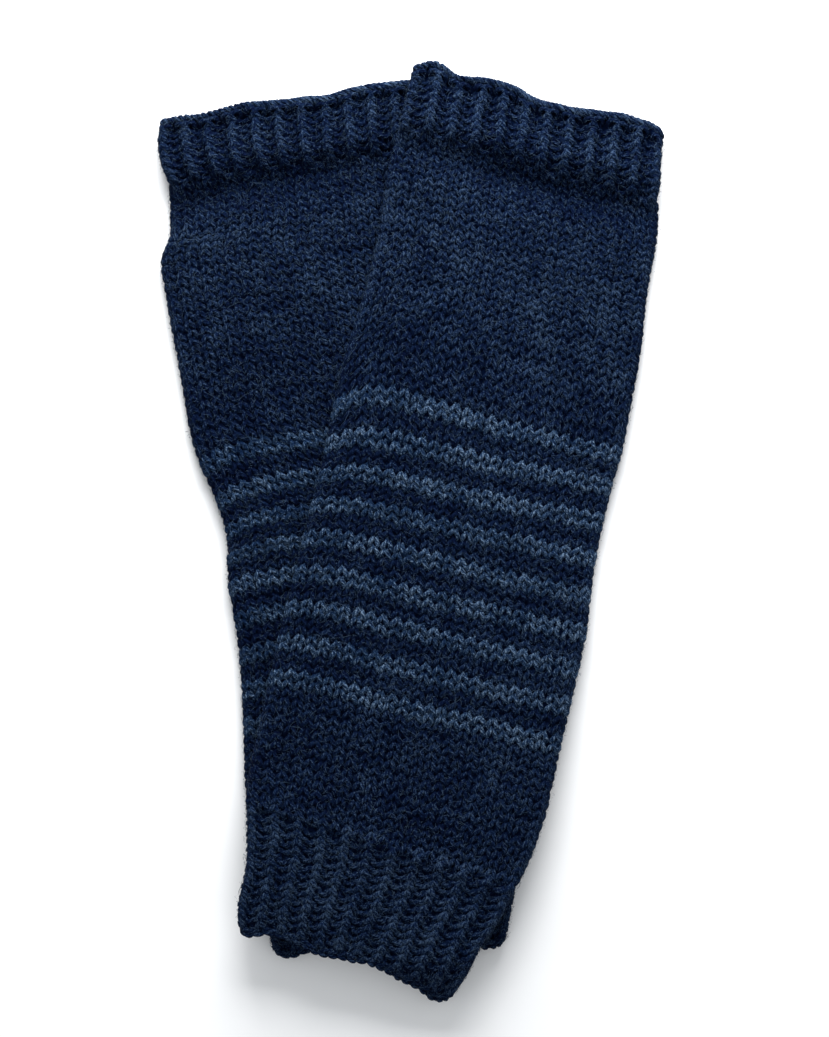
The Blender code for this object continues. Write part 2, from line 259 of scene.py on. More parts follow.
# How light the yarn is, its painted light and shade included
FLECK_TONE = 0.7              # how much that varies within a loop
CLOUD_TONE = 0.3              # and over a few loops
FRONT_PAINTED_SHADING = 0.6              # painted light and shade: how much lighter the front of a loop is painted than its tucked-in back
TROUGH_ROW = 10.5             # the middle of the rows that lie in the trough below the wide cuff
TROUGH_ROWS = 4               # how many rows to each side of it
TROUGH_PAINTED_SHADE = 0.6             # how much darker the yarn is painted in them, as painted shade from the cuff
PUFFED_ROW_PAINTED_LIGHT = 0.45        # painted highlight: how much lighter the yarn is painted in the last plain row before the narrow cuff, which puffs up
DARKER_FROM = 26              # the row from which the body's yarn is painted darker, as painted shade where the light falls off
DARKER_OVER = 10              # in how many rows
PAINTED_FALLOFF_SHADE = 0.8             # how much at the left fold, fading to none at the right fold
DARKER_STRIPES = 0.5          # how much of that the stripes take

# The detail of each tube of yarn: points along one stitch, and sides round the yarn
Detail = namedtuple("Detail", "steps sides")
BURIED, BELOW, SHOWN = range(3)
DETAILS = {BELOW: Detail(8, 3), SHOWN: Detail(12, 5)}
SHOWN_TO = 5 * MM             # how far inside the other warmer's outline loops keep their full detail
BURIED_FROM = 12 * MM         # and from where the plain shell is enough

# The cast-on rope
ROPE_ROW = 0.32               # where its middle lies
ROPE_STRANDS = 3
ROPE_STRAND = 0.80 * MM
ROPE_TWIST = 0.72 * MM        # from its middle to the middle of each strand
ROPE_STITCHES = 1.5           # stitches in one turn of the twist
ROPE_PAINTED_LIGHT = 0.6               # how much lighter its yarn is painted, as painted light on the rope
ROPE_UNEVEN_ROW = 0.10
ROPE_UNEVEN_TURN = 0.3        # in radians
ROPE_DETAIL = Detail(10, 5)

# The bound-off chain
CHAIN_FROM_END = 0.52         # rows from the bound-off edge to its middle
CHAIN_OVERLAP = 0.15          # how far a stitch's legs reach under the next ones, in stitches
CHAIN_TAPER = 0.12            # how much of its swell a leg has left at its ends; 0 makes them points
CHAIN_SLANT = 0.30            # how far a leg leans out of the chain, in rows
CHAIN_HALF_WIDTH = 0.80 * MM
CHAIN_HALF_THICKNESS = 0.76 * MM
CHAIN_UP = 0.10 * MM          # how far it stands out at the ends of a leg
CHAIN_BULGE = 0.20 * MM       # and how much further in the middle
CHAIN_UNEVEN_ROW = 0.08
CHAIN_DETAIL = Detail(7, 6)

# The fibres that stand off the wool: how many on each warmer, the points along one, and in millimetres
# their usual length, rise and radius
Fibres = namedtuple("Fibres", "upper lower points length rise radius")
STRAY = Fibres(3800, 2200, 4, 2.6, 0.40, 0.036)
NAP = Fibres(17000, 10000, 3, 1.2, 0.34, 0.045)
FIBRE_CURL = 1.5              # how far one turns from its root to its tip, in radians
FIBRE_ROOT = 0.25 * MM        # how far under the solids' outer face it starts
FIBRE_SIDES = 3


def through(knots, values, x):
    """A smooth curve through the points (knots, values), read at x."""
    knots, values, x = (np.asarray(v, float) for v in (knots, values, x))
    slopes = np.gradient(values, knots)
    i = np.clip(np.searchsorted(knots, x, side="right") - 1, 0, len(knots) - 2)
    span = knots[i + 1] - knots[i]
    t = np.clip((x - knots[i]) / span, 0, 1)
    rise = values[i + 1] - values[i]
    bend = t * (1 - t) * (slopes[i] * (1 - t) - slopes[i + 1] * t)
    return values[i] + rise * t * t * (3 - 2 * t) + span * bend


def column(table, field, x):
    """One column of a table, in metres, read at x along its first column."""
    return through([row[0] for row in table], [getattr(row, field) for row in table], x) * MM


def smooth_step(t):
    t = np.clip(t, 0, 1)
    return t * t * t * (t * (6 * t - 15) + 10)


def last_row(warmer):
    return warmer.courses[-1].row


def folds(warmer, row):
    """The two ends of a row, at the outside of the tube's folds, as plan points."""
    left = np.stack([column(warmer.courses, "left_x", row), column(warmer.courses, "left_y", row)], -1)
    right = np.stack([column(warmer.courses, "right_x", row), column(warmer.courses, "right_y", row)], -1)
    return left - MIDDLE, right - MIDDLE


def plan(warmer, row, across, left, right):
    """The plan point of a row at across, which runs from -1 at the left fold to 1 at the right fold."""
    share = (across + 1) / 2
    along = right - left
    outward = np.stack([-along[..., 1], along[..., 0]], -1) / np.linalg.norm(along, axis=-1)[..., None]
    within = np.clip(share, 0, 1)
    leaning = within * (1 + ARCH_LEAN) / (1 + ARCH_LEAN * within)
    lift = column(warmer.courses, "arch", row) * np.sin(math.pi * leaning)
    lift = lift + column(warmer.wide_wave, "out", share) * np.exp(-row / WAVE_FADE)
    lift = lift - column(warmer.narrow_wave, "out", share) * np.exp((row - last_row(warmer)) / WAVE_FADE)
    return left + along * share[..., None] + outward * lift[..., None]


def corner_inset(warmer, row):
    """How far a tube's folds draw in beside its ends, which rounds its corners."""
    to_end = np.minimum(row, last_row(warmer) - row) * ROW_HEIGHT
    t = 1 - np.clip(to_end / CORNER, 0, 1)
    return CORNER * (1 - np.sqrt(1 - t * t))


def section(stitch, half_width, half_height):
    """Where a stitch lies round the flattened tube: its point across the tube's middle plane, and the
    direction out of the cloth as across and up."""
    on_top = stitch % STITCHES_ROUND < STITCHES_ACROSS
    flat = half_width - half_height
    fold = math.pi / 2 * half_height
    way = (stitch % STITCHES_ACROSS) / STITCHES_ACROSS * (2 * flat + 2 * fold)
    base = np.clip(way - fold, 0, 2 * flat) - flat
    turned = np.clip(way, 0, fold) + np.clip(way - fold - 2 * flat, 0, fold)
    angle = math.pi - turned / half_height
    side = np.where(on_top, 1, -1)
    return side * base, side * np.cos(angle), side * np.sin(angle)


def past_outline(warmer, points):
    """How far each plan point lies outside a warmer's outline. Inside it the distance is negative."""
    left, right = folds(warmer, np.linspace(0, last_row(warmer), OUTLINE_POINTS))
    loop = np.concatenate([left, right[::-1]])
    nearest = np.full(points.shape[:-1], np.inf)
    crossings = np.zeros(points.shape[:-1], int)
    for start, end in zip(loop, np.roll(loop, -1, axis=0)):
        run = end - start
        to_point = points - start
        share = np.clip(to_point @ run / (run @ run), 0, 1)
        nearest = np.minimum(nearest, np.linalg.norm(to_point - share[..., None] * run, axis=-1))
        if start[1] != end[1]:
            level = (start[1] > points[..., 1]) != (end[1] > points[..., 1])
            crossing = start[0] + to_point[..., 1] / run[1] * run[0]
            crossings += level & (points[..., 0] < crossing)
    return np.where(crossings % 2 == 1, -nearest, nearest)


def drape(points):
    """How high the upper warmer's underside lies over each plan point."""
    onto_cuff = np.maximum(points[..., 1] - WIDE_CUFF_FROM, NARROW_CUFF_FROM - points[..., 1])
    on_cuff = smooth_step(1 + onto_cuff / STEP_BLEND)
    step = BODY_STEP + (CUFF_STEP - BODY_STEP) * on_cuff + SEAM_GAP
    return step * (1 - smooth_step(past_outline(LOWER, points) / FALL))


def wander(rows, stitches, every_rows, every_stitches, seed):
    """Smooth unevenness from -1 to 1, which closes up round the tube."""
    around = round(STITCHES_ROUND / every_stitches)
    table = np.random.default_rng(seed).uniform(-1, 1, (int(MOST_ROWS / every_rows) + 4, around))
    r = np.asarray(rows) / every_rows + 1
    s = np.asarray(stitches) % STITCHES_ROUND * around / STITCHES_ROUND
    i, j = np.floor(r).astype(int), np.floor(s).astype(int)
    u, v = smooth_step(r - i), smooth_step(s - j)
    j, k = j % around, (j + 1) % around
    here = table[i, j] * (1 - v) + table[i, k] * v
    there = table[i + 1, j] * (1 - v) + table[i + 1, k] * v
    return here * (1 - u) + there * u


def uneven(warmer, row, place, number, every_stitches=1):
    """Unevenness from -1 to 1 along one row. Each number gives another one."""
    return wander(np.full_like(place, row), place, 1, every_stitches, warmer.seed + number)


def in_rib(warmer, row):
    """Whether a row belongs to a ribbed cuff."""
    return row < CUFF_ROWS or row >= warmer.narrow_from


def ribbed(warmer, rows):
    """1 in a ribbed cuff and 0 in the plain body, with a soft change over one row."""
    rows = np.asarray(rows, float)
    wide = smooth_step(CUFF_ROWS + 0.4 - rows)
    narrow = smooth_step(rows - warmer.narrow_from + 0.6)
    return np.maximum(wide, narrow)


def rib_wave(stitches):
    """1 on a rib's knit column and -1 on its purl column."""
    return np.cos(math.pi * (stitches - 1))


def rib_relief(warmer, rows, stitches):
    """How far the ribs lift the cloth: less near the ends, where the edges hold them."""
    held = 1 - smooth_step(np.minimum(rows, last_row(warmer) - rows) / EDGE_ROWS)
    lift = np.where(rows < last_row(warmer) / 2, WIDE_RIB.lift, NARROW_RIB.lift)
    return lift * (1 - EDGE_HOLD * held) * rib_wave(stitches) * ribbed(warmer, rows)


def in_stripe(warmer, row):
    """Whether a row is knitted in grey."""
    past_first = row - warmer.stripes_from
    return 0 <= past_first < STRIPE_EVERY * STRIPES and past_first % STRIPE_EVERY < STRIPE_ROWS


def between_stripes(warmer, row):
    """Whether a row is knitted in navy between two stripes."""
    past_first = row - warmer.stripes_from
    return 0 <= past_first < STRIPE_EVERY * (STRIPES - 1) and past_first % STRIPE_EVERY >= STRIPE_ROWS


def striped(warmer, rows):
    """1 in the middle of a stripe, -1 midway between two, and 0 away from the stripes."""
    past_first = np.asarray(rows, float) - warmer.stripes_from - STRIPE_ROWS / 2
    length = STRIPE_EVERY * (STRIPES - 1)
    inside = smooth_step(1 + np.minimum(past_first, length - past_first))
    return inside * np.cos(2 * math.pi * past_first / STRIPE_EVERY)


def unwrapped(stitches):
    """Stitches counted so that those on top and round both folds follow on from each other."""
    before_fold = STITCHES_ACROSS / 2
    return (np.asarray(stitches) + before_fold) % STITCHES_ROUND - before_fold


def creased(warmer, rows, stitches):
    """How far the creases lift the cloth, which is mostly down."""
    lift = np.zeros(np.broadcast(rows, stitches).shape)
    on_top = unwrapped(stitches)
    for crease in warmer.creases:
        turn = math.radians(crease.turn)
        along = (on_top - crease.stitch) * STITCH_WIDTH
        down = (rows - crease.row) * ROW_HEIGHT
        u = along * math.cos(turn) + down * math.sin(turn)
        v = down * math.cos(turn) - along * math.sin(turn)
        shape = np.exp(-((u / (crease.half_length * MM)) ** 4) - (v / (crease.half_width * MM)) ** 2)
        lift -= crease.depth * MM * shape
    return lift


def cloth(warmer, rows, stitches, up=0.0):
    """Points of a warmer's cloth, `up` above the middle of its loops on the side that faces out."""
    left, right = folds(warmer, rows)
    full_width = np.linalg.norm(right - left, axis=-1)
    half_width = full_width / 2 - corner_inset(warmer, rows)
    half_height = column(warmer.heights, "height", rows) / 2
    base, out_across, out_up = section(stitches, half_width, half_height)
    soft = creased(warmer, rows, stitches) + SOFT_WAVES * wander(rows, stitches, 7, 4, warmer.seed)
    relief = rib_relief(warmer, rows, stitches) + STRIPE_LIFT * striped(warmer, rows) + soft
    # The underside rests flat, so the relief dies away round the folds
    upper_side = smooth_step((out_up + 0.2) / 0.7)
    radius = half_height - CLOTH_MIDDLE + up + relief * upper_side
    across = base + radius * out_across
    points = plan(warmer, rows, across / (full_width / 2), left, right)
    dome = column(warmer.heights, "dome", rows) * (1 - (across / half_width) ** 2) * np.maximum(out_up, 0)
    height = half_height + radius * out_up + dome
    if warmer.draped:
        height = height + drape(points)
    return np.concatenate([points, height[..., None]], -1)


def unit(vectors):
    return vectors / np.maximum(np.linalg.norm(vectors, axis=-1, keepdims=True), 1e-12)


def running_total(steps):
    """How far each line of steps has come before each step, and at its end."""
    return np.concatenate([np.zeros((len(steps), 1)), np.cumsum(steps, axis=1)], axis=1)


def out_of(warmer, rows, stitches):
    """The direction straight out of the cloth."""
    step = 0.12
    along = cloth(warmer, rows + step, stitches) - cloth(warmer, rows - step, stitches)
    across = cloth(warmer, rows, stitches + step) - cloth(warmer, rows, stitches - step)
    return unit(np.cross(along, across))


# ---------------------------------------------------------------- tubes of yarn as meshes


class Tubes:
    """Many tubes, joined into one mesh. Each tube closes at its ends, or runs round in a ring.

    Every point has a tone: above 0 the yarn is lighter there, and below 0 darker. The UV map runs along the
    yarn in millimetres, and once round it from the side that faces into the cloth.
    """

    def __init__(self, seed, roughness=0.0):
        self.rng = np.random.default_rng(seed)
        self.roughness = roughness
        self.points, self.tones = [], []
        self.quads, self.quad_uvs = [], []
        self.triangles, self.triangle_uvs = [], []
        self.count = 0
        self.strands = 0

    def add(self, centres, ups, half_widths, half_heights, tones, sides, closed=False):
        """Adds tubes of equal length. The arrays have a row for each tube, and a column for each point."""
        tubes = len(centres)
        if closed:
            tangents = np.roll(centres, -1, axis=1) - np.roll(centres, 1, axis=1)
        else:
            tangents = np.gradient(centres, axis=1)
        tangents = unit(tangents)
        side = unit(np.cross(ups, tangents))
        up = np.cross(tangents, side)
        steps = np.linalg.norm(np.diff(centres, axis=1), axis=-1)
        along = running_total(steps) / MM
        along += STRAND_SHIFT * (self.strands + np.arange(tubes))[:, None]
        # Rings of points round each centre, but for the ends of an open tube
        turn = np.arange(sides + 1) / sides
        angle = 2 * math.pi * turn[:-1] - math.pi / 2
        inner = slice(None) if closed else slice(1, -1)
        c, s, u = centres[:, inner, None], side[:, inner, None], up[:, inner, None]
        rough = 1 + self.roughness * self.rng.uniform(-1, 1, (*c.shape[:2], sides, 1))
        w, h = half_widths[:, inner, None, None] * rough, half_heights[:, inner, None, None] * rough
        rings = c + w * np.cos(angle)[:, None] * s + h * np.sin(angle)[:, None] * u
        count = rings.shape[1]
        self.points.append(rings.reshape(-1, 3))
        self.tones.append(np.repeat(tones[:, inner], sides, axis=1).ravel())
        # Faces between each ring and the next
        tube, i, j = np.meshgrid(
            np.arange(tubes), np.arange(count if closed else count - 1), np.arange(sides), indexing="ij"
        )
        first = self.count + tube * count * sides
        here, there = first + i * sides, first + (i + 1) % count * sides
        k = (j + 1) % sides
        self.quads.append(np.stack([here + j, here + k, there + k, there + j], -1).reshape(-1, 4))
        u_here = along[:, inner][tube, i]
        u_there = np.append(along[:, inner], along[:, -1:] + steps[:, :1] / MM, axis=1)[tube, i + 1]
        uv = np.stack([u_here, turn[j], u_here, turn[j + 1], u_there, turn[j + 1], u_there, turn[j]], -1)
        self.quad_uvs.append(uv.reshape(-1, 8))
        self.count += tubes * count * sides
        if not closed:
            self.cap(centres, tones, along, tubes, count, sides)
        self.strands += tubes

    def cap(self, centres, tones, along, tubes, count, sides):
        """Closes both ends of each tube with a fan of faces to its first and its last point."""
        first = self.count - tubes * count * sides
        tips = self.count + 2 * np.arange(tubes)[:, None]
        rings = first + np.arange(tubes)[:, None] * count * sides + np.arange(sides)
        after = np.roll(rings, -1, axis=1)
        last = (count - 1) * sides
        start = np.stack([np.broadcast_to(tips, rings.shape), after, rings], -1)
        end = np.stack([np.broadcast_to(tips + 1, rings.shape), rings + last, after + last], -1)
        self.points.append(centres[:, [0, -1]].reshape(-1, 3))
        self.tones.append(tones[:, [0, -1]].ravel())
        turn = np.broadcast_to(np.arange(sides) / sides, rings.shape)
        step = 1 / sides
        for faces, tip, ring, order in ((start, 0, 1, (step, 0)), (end, -1, -2, (0, step))):
            tip_u = np.broadcast_to(along[:, tip, None], rings.shape)
            ring_u = np.broadcast_to(along[:, ring, None], rings.shape)
            uv = np.stack([tip_u, turn + step / 2, ring_u, turn + order[0], ring_u, turn + order[1]], -1)
            self.triangles.append(faces.reshape(-1, 3))
            self.triangle_uvs.append(uv.reshape(-1, 6))
        self.count += 2 * tubes

    def piece(self, name, material):
        """The mesh of all the tubes, as an object that nowhere reaches below the table."""
        points = np.concatenate(self.points)
        points[:, 2] = np.maximum(points[:, 2], 0)
        quads = np.concatenate(self.quads)
        triangles = np.concatenate(self.triangles) if self.triangles else np.zeros((0, 3), int)
        uvs = np.concatenate([part.ravel() for part in self.quad_uvs + self.triangle_uvs])
        mesh = bpy.data.meshes.new(name)
        mesh.vertices.add(len(points))
        mesh.vertices.foreach_set("co", points.ravel())
        mesh.loops.add(quads.size + triangles.size)
        mesh.loops.foreach_set("vertex_index", np.concatenate([quads.ravel(), triangles.ravel()]))
        mesh.polygons.add(len(quads) + len(triangles))
        starts = np.concatenate([np.arange(len(quads)) * 4, quads.size + np.arange(len(triangles)) * 3])
        mesh.polygons.foreach_set("loop_start", starts)
        mesh.update(calc_edges=True)
        mesh.shade_smooth()
        mesh.uv_layers.new(name="yarn").uv.foreach_set("vector", uvs)
        mesh.attributes.new("tone", "FLOAT", "POINT").data.foreach_set("value", np.concatenate(self.tones))
        return placed(name, mesh, material)


def placed(name, mesh, material):
    mesh.materials.append(material)
    piece = bpy.data.objects.new(name, mesh)
    bpy.context.scene.collection.objects.link(piece)
    return piece


# ---------------------------------------------------------------- the knitting


def seen_from(warmer, rows, stitches):
    """Where a stitch can be seen from as the pair lies: SHOWN from above or beside it, BELOW only from
    underneath or between the warmers' edges, and BURIED deep between the two warmers from nowhere."""
    on_top = (unwrapped(stitches) >= -1) & (unwrapped(stitches) <= STITCHES_ACROSS + 1)
    other, faces_other = (LOWER, ~on_top) if warmer.draped else (UPPER, on_top)
    outside = past_outline(other, cloth(warmer, rows, stitches)[..., :2])
    shown = on_top & ~(faces_other & (outside < -SHOWN_TO))
    return np.where(faces_other & (outside < -BURIED_FROM), BURIED, np.where(shown, SHOWN, BELOW))


def stretches(flags):
    """The stretches of equal flags round a row, as first stitch, number of stitches and flag."""
    starts = np.flatnonzero(flags != np.roll(flags, 1))
    if not len(starts):
        return [(0, len(flags), flags[0])]
    lengths = np.diff(np.append(starts, starts[0] + len(flags)))
    return [(start, length, flags[start]) for start, length in zip(starts, lengths)]


def knit_row(tubes, warmer, row):
    """One row of loops round a warmer, in a strand for each stretch that is seen alike."""
    stitches = np.arange(STITCHES_ROUND, dtype=float)
    for first, length, seen in stretches(seen_from(warmer, np.full_like(stitches, row + 0.5), stitches)):
        if seen == BURIED:
            continue
        detail = DETAILS[seen]
        turns = np.linspace(0, length, length * detail.steps + 1)
        # A point close before each end keeps the ends blunt
        nearly = 0.9 * OVERLAP
        turns = np.concatenate([[-OVERLAP, -nearly], turns, [length + nearly, length + OVERLAP]])
        loop_strand(tubes, warmer, row, first - 0.5 + turns, turns, detail.sides)


def loop_strand(tubes, warmer, row, place, turns, sides):
    """A strand in loops. place is the stitch that it has come to, and turns counts its loops."""
    cuff = float(in_rib(warmer, row))
    face = cuff * np.clip(RIB_SHARPNESS * rib_wave(place), -1, 1) + (1 - cuff)
    in_front = -np.cos(4 * math.pi * turns)
    leg = (in_front + 1) / 2
    reach = LOOP_REACH * (1 + UNEVEN_REACH * uneven(warmer, row, place, 1))
    rows = row + 0.5 - reach * np.cos(2 * math.pi * turns)
    rows = rows + UNEVEN_ROWS * uneven(warmer, row, place, 3, 2)
    bulge = LOOP_BULGE * (1 + UNEVEN_BULGE * uneven(warmer, row, place, 2))
    stitches = place + bulge * np.sin(4 * math.pi * turns)
    stitches = stitches + UNEVEN_STITCHES * uneven(warmer, row, place, 4)
    stitches = stitches + cuff * RIB_SPREAD * np.sin(math.pi * (place - 1))
    up = LOOP_DEPTH * (1 + UNEVEN_DEPTH * uneven(warmer, row, place, 5)) * in_front * face
    fat = 1 + UNEVEN_THICKNESS * uneven(warmer, row, place, 6)
    half_widths = fat * (HEAD_HALF_WIDTH + (LEG_HALF_WIDTH - HEAD_HALF_WIDTH) * leg)
    half_widths = half_widths * (1 + RIB_WIDENING * cuff)
    half_heights = fat * HALF_THICKNESS * (1 - HEAD_FLATTENING + HEAD_FLATTENING * leg)
    tones = loop_tones(warmer, row, place, rows, stitches, in_front * face)
    tubes.add(
        cloth(warmer, rows, stitches, up)[None],
        out_of(warmer, rows, stitches)[None],
        half_widths[None],
        half_heights[None],
        tones[None],
        sides,
    )


def loop_tones(warmer, row, place, rows, stitches, front):
    """How light the yarn of one row is, at its points (rows, stitches), with painted light and shade among
    its tones. front is 1 where the yarn stands in front, and -1 where it is tucked in."""
    flecks = wander(rows, stitches, 1, 0.5, warmer.seed + 7)
    clouds = wander(rows, stitches, 3, 3, warmer.seed + 8)
    # Painted light and shade: the front of each loop is lighter and its tucked-in back darker
    tones = FLECK_TONE * flecks + CLOUD_TONE * clouds + warmer.tone + FRONT_PAINTED_SHADING * (front - 0.5)
    # Painted shade: the body's yarn is darker towards the narrow end and the left fold, where the light
    # falls off
    from_left_fold = np.abs((place + STITCHES_ACROSS) % STITCHES_ROUND - STITCHES_ACROSS)
    darker = PAINTED_FALLOFF_SHADE * smooth_step((row - DARKER_FROM) / DARKER_OVER)
    darker = darker * (1 - from_left_fold / STITCHES_ACROSS)
    if in_rib(warmer, row):
        rib = WIDE_RIB if row < CUFF_ROWS else NARROW_RIB
        # Painted light and shade: knit columns lighter and purl columns darker
        tones = tones + (rib.contrast * rib_wave(place) + rib.tone)
    elif in_stripe(warmer, row):
        tones = tones + STRIPE_PATCHES * uneven(warmer, row, place, 9, 1.5) - DARKER_STRIPES * darker
    elif between_stripes(warmer, row):
        tones = tones - BETWEEN_STRIPES_TONE - darker
    else:
        tones = tones - darker
    # Painted shade in the trough below the wide cuff
    tones = tones - TROUGH_PAINTED_SHADE * smooth_step(1 - abs(row - TROUGH_ROW) / TROUGH_ROWS)
    # Painted highlight on the puffed last plain row before the narrow cuff
    return tones + PUFFED_ROW_PAINTED_LIGHT * (row == warmer.narrow_from - 1)


def knitting(warmer, name, rows, material):
    """A piece of knitting: the loops of the given rows."""
    tubes = Tubes(warmer.seed + rows[0], YARN_ROUGHNESS)
    for row in rows:
        knit_row(tubes, warmer, row)
    return tubes.piece(f"{warmer.name}_{name}", material)


def cast_on_rope(warmer, material):
    """The rope along the wide end: strands twisted round each other."""
    tubes = Tubes(warmer.seed, YARN_ROUGHNESS)
    place = np.arange(STITCHES_ROUND * ROPE_DETAIL.steps) / ROPE_DETAIL.steps
    rows = ROPE_ROW + ROPE_UNEVEN_ROW * uneven(warmer, 0, place, 12, 1.5)
    thickness = ROPE_STRAND + ROPE_TWIST
    middle = cloth(warmer, rows, place, CLOTH_MIDDLE - thickness)
    further_in = cloth(warmer, rows + 0.3, place, CLOTH_MIDDLE - thickness)
    up, outward = out_of(warmer, rows, place), unit(middle - further_in)
    for strand in range(ROPE_STRANDS):
        turn = 2 * math.pi * (place / ROPE_STITCHES + strand / ROPE_STRANDS)
        turn = turn + ROPE_UNEVEN_TURN * uneven(warmer, strand, place, 13)
        twist = np.cos(turn)[:, None] * up - np.sin(turn)[:, None] * outward
        radius = ROPE_STRAND * (1 + YARN_ROUGHNESS * uneven(warmer, strand, place, 14))
        # Painted light: the rope's yarn is lighter
        tones = ROPE_PAINTED_LIGHT + uneven(warmer, strand, place, 15, 0.5)
        centres = middle + ROPE_TWIST * twist
        tubes.add(
            centres[None],
            twist[None],
            radius[None],
            radius[None],
            tones[None],
            ROPE_DETAIL.sides,
            closed=True,
        )
    return tubes.piece(f"{warmer.name}_cast_on_rope", material)


def bind_off_chain(warmer, material):
    """The chain along the narrow end. Each stitch is drawn through the one before it, so two slanted
    legs of yarn for every stitch lie in a row along the edge."""
    tubes = Tubes(warmer.seed, YARN_ROUGHNESS)
    along = np.linspace(-CHAIN_OVERLAP, 1 + CHAIN_OVERLAP, CHAIN_DETAIL.steps)
    swell = np.sin(math.pi * np.linspace(CHAIN_TAPER, 1 - CHAIN_TAPER, CHAIN_DETAIL.steps))
    stitches = np.arange(STITCHES_ROUND)[:, None] + along
    nothing = np.zeros_like(stitches)
    for leg in (-1, 1):
        slant = leg * CHAIN_SLANT * np.sin(math.pi * np.clip(along, 0, 1) * 0.55)
        rows = last_row(warmer) - CHAIN_FROM_END + slant + nothing
        rows = rows + CHAIN_UNEVEN_ROW * uneven(warmer, 0, stitches, 16)
        up = CHAIN_UP + CHAIN_BULGE * np.sin(math.pi * along) + nothing
        tubes.add(
            cloth(warmer, rows, stitches, up),
            out_of(warmer, rows, stitches),
            CHAIN_HALF_WIDTH * swell + nothing,
            CHAIN_HALF_THICKNESS * swell + nothing,
            uneven(warmer, 1 + leg, stitches, 17, 0.5),
            CHAIN_DETAIL.sides,
        )
    return tubes.piece(f"{warmer.name}_bind_off_chain", material)


def halo(warmer, name, fibres, material):
    """Fibres that stand off the wool wherever it shows."""
    tubes = Tubes(warmer.seed)
    # Where they are rooted: of many places drawn, the first ones that show
    wanted = getattr(fibres, warmer.name)
    tries = 3 * wanted
    rng = np.random.default_rng(warmer.seed + 20 + fibres.points)
    rows = rng.uniform(0.4, last_row(warmer) - 0.3, tries)
    stitches = rng.uniform(-0.8, STITCHES_ACROSS + 0.8, tries)
    kept = np.flatnonzero(seen_from(warmer, rows, stitches) == SHOWN)[:wanted]
    rows, stitches = rows[kept, None], stitches[kept, None]
    # Most are near their usual length and rise, and a few go far past them
    each = (len(kept), 1)
    length = rng.gamma(3.0, fibres.length / 3, each) * MM
    heading = rng.uniform(0, 2 * math.pi, each)
    curl = rng.normal(0, FIBRE_CURL, each)
    rise = rng.gamma(2.0, fibres.rise / 2, each) * MM
    # Their way over the cloth, up out of it and down again
    share = np.linspace(0, 1, fibres.points)
    angle = (heading + curl * share)[:, 1:]
    step = length / (fibres.points - 1)
    stitches = stitches + running_total(step * np.cos(angle)) / STITCH_WIDTH
    rows = rows + running_total(step * np.sin(angle)) / ROW_HEIGHT
    rows = np.clip(rows, 0.2, last_row(warmer) - 0.2)
    up = CLOTH_MIDDLE - FIBRE_ROOT + rise * np.sin(math.pi * (0.08 + 0.75 * share))
    centres = cloth(warmer, rows, stitches, up)
    radius = fibres.radius * MM * rng.uniform(0.7, 1.25, each) + np.zeros_like(rows)
    tones = rng.uniform(-1, 1, each) + np.zeros_like(rows)
    tubes.add(centres, out_of(warmer, rows, stitches), radius, radius, tones, FIBRE_SIDES)
    return tubes.piece(f"{warmer.name}_{name}", material)


def shell(warmer, node, first, last, material):
    """A thin wall of wool under the loops of one piece, closed round its edges; its dark colour is painted
    shade for the gaps between the loops.
    """
    around = np.arange(0, STITCHES_ROUND, SHELL_STEP)
    rows = np.linspace(first, last, round(last - first) + 1)
    walls = []
    for up, order in ((SHELL_FROM_MIDDLE, rows), (SHELL_FROM_MIDDLE - SHELL_WALL, rows[::-1])):
        r, s = np.meshgrid(order, around, indexing="ij")
        walls.append(cloth(warmer, r, s, up))
    rings = np.concatenate(walls)
    rings[..., 2] = np.maximum(rings[..., 2], 0)
    count = len(rings)
    i, j = np.meshgrid(np.arange(count), np.arange(len(around)), indexing="ij")
    here, there = i * len(around), (i + 1) % count * len(around)
    k = (j + 1) % len(around)
    faces = np.stack([here + j, there + j, there + k, here + k], -1).reshape(-1, 4)
    mesh = bpy.data.meshes.new(f"{node}_shell")
    mesh.from_pydata(rings.reshape(-1, 3).tolist(), [], faces.tolist())
    mesh.shade_smooth()
    piece = placed(mesh.name, mesh, material)
    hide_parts(node)
    return piece


# ---------------------------------------------------------------- materials


class Nodes:
    """A material's node tree, with short ways to add and join its nodes."""

    def __init__(self, name):
        self.material = bpy.data.materials.new(name)
        self.material.use_nodes = True
        self.tree = self.material.node_tree
        self.shader = self.tree.nodes["Principled BSDF"]

    def add(self, kind, settings=None, **inputs):
        node = self.tree.nodes.new(kind)
        for key, value in (settings or {}).items():
            setattr(node, key, value)
        for key, value in inputs.items():
            self.set(node.inputs[key.replace("_", " ")], value)
        return node

    def set(self, socket, value):
        if isinstance(value, bpy.types.NodeSocket):
            self.tree.links.new(value, socket)
        else:
            socket.default_value = value

    def math(self, operation, *values):
        node = self.tree.nodes.new("ShaderNodeMath")
        node.operation = operation
        for socket, value in zip(node.inputs, values):
            self.set(socket, value)
        return node.outputs[0]

    def weighted(self, *terms):
        """The sum of (value, weight) terms."""
        total = None
        for value, weight in terms:
            term = self.math("MULTIPLY", value, weight)
            total = term if total is None else self.math("ADD", total, term)
        return total

    def noise(self, vector, scale, detail=2.0):
        return self.add("ShaderNodeTexNoise", Vector=vector, Scale=scale, Detail=detail).outputs["Fac"]

    def ramp(self, factor, *stops):
        """A colour ramp through (place, colour) stops."""
        node = self.add("ShaderNodeValToRGB", Fac=factor)
        elements = node.color_ramp.elements
        while len(elements) < len(stops):
            elements.new(0.5)
        for element, (place, colour) in zip(elements, stops):
            element.position = place
            element.color = (*colour, 1.0)
        return node.outputs["Color"]


